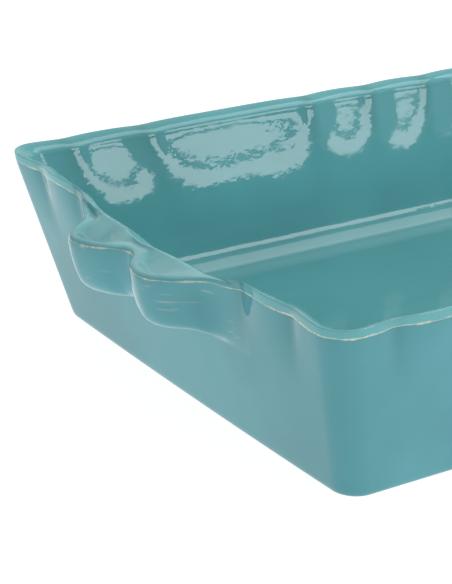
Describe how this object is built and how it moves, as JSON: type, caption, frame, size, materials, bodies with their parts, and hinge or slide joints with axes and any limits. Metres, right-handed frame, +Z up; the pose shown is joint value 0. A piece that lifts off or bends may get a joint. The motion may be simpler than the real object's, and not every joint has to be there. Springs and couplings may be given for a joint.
{
  "type": "baking dish",
  "caption": "Large rectangular glazed stoneware baking dish with a fluted rim and a two-lobed lug handle on each short end.",
  "frame": {"origin": "middle of the base, on the surface that the dish stands on", "axes": "+X along the dish to the right lug, +Y across it, +Z up out of the hollow"},
  "size_m": [0.4284, 0.2346, 0.071],
  "materials": {
    "stoneware": "matt fired clay",
    "bare_foot": "matt fired clay",
    "inner_glaze": "high gloss",
    "outer_glaze": "high gloss",
    "lug_glaze": "high gloss"
  },
  "bodies": {
    "root": {"tub": "stoneware", "foot_ring": "bare_foot", "inner_glaze": "inner_glaze", "outer_glaze": "outer_glaze", "left_lug": "lug_glaze", "right_lug": "lug_glaze"}
  },
  "joints": []
}
